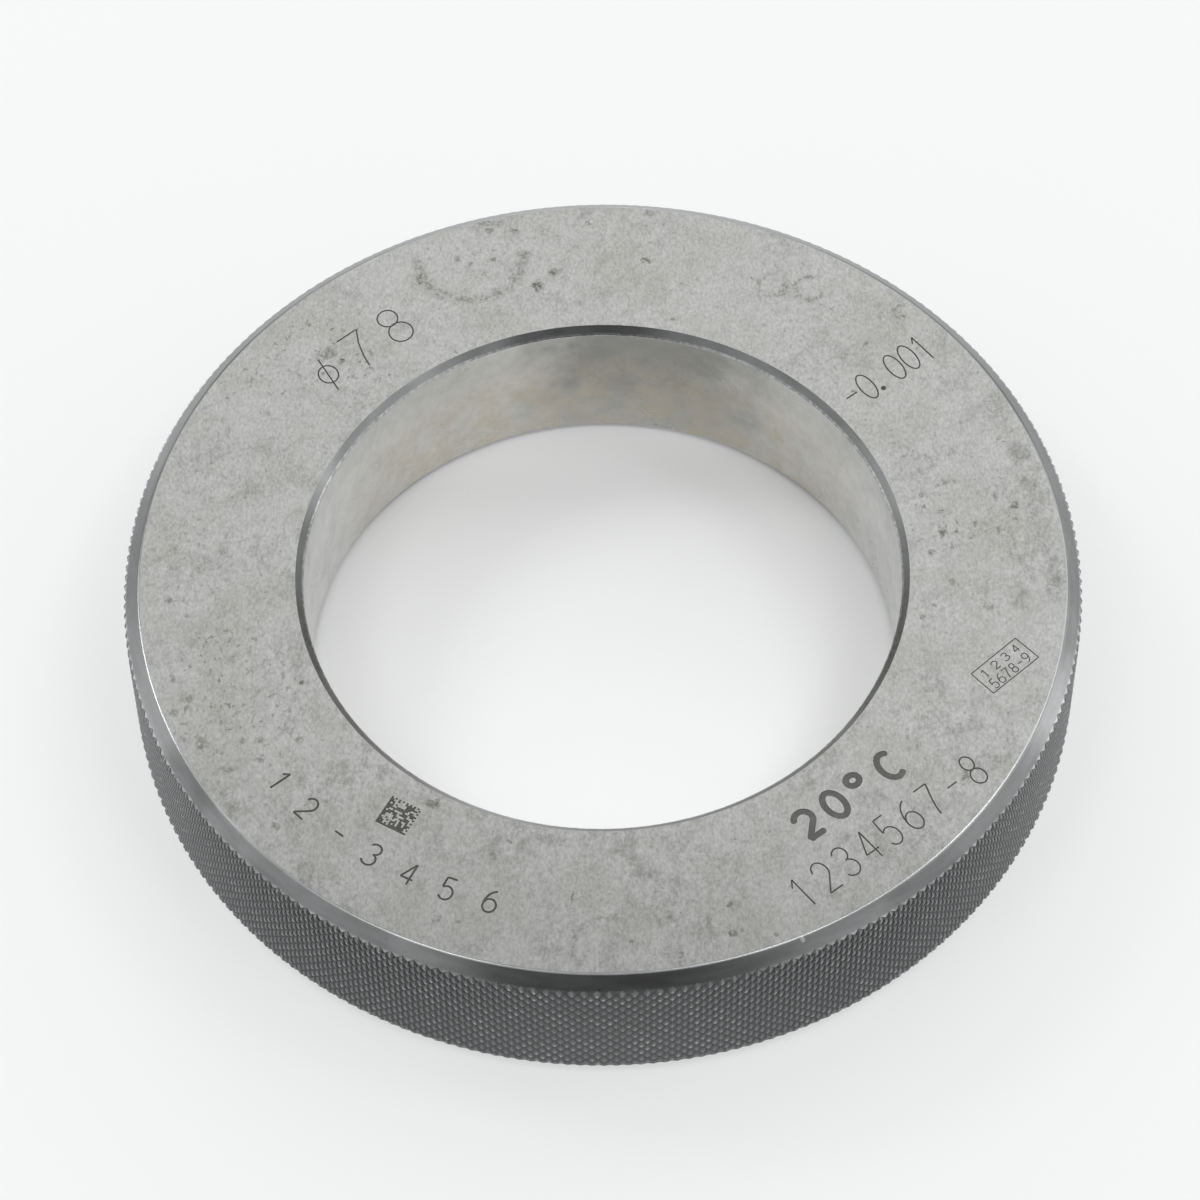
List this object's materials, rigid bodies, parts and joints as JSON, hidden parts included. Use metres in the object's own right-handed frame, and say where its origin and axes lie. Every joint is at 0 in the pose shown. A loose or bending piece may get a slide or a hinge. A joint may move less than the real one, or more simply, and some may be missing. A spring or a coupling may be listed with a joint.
{
  "type": "setting ring gauge",
  "caption": "Flat hardened steel ring with a lapped bore, chamfered edges and a diamond-knurled rim, used to set bore gauges.",
  "frame": {"origin": "centre of the bottom face, on the bore's axis", "axes": "+Z along the bore's axis, towards the face with the size marks; the marks' upright runs towards +Y"},
  "size_m": [0.125, 0.125, 0.022],
  "materials": {
    "hardened_steel": "ground and lapped grey tool steel with light stains and fine rust specks"
  },
  "bodies": {
    "root": {"setting_ring": "hardened_steel"}
  },
  "joints": []
}
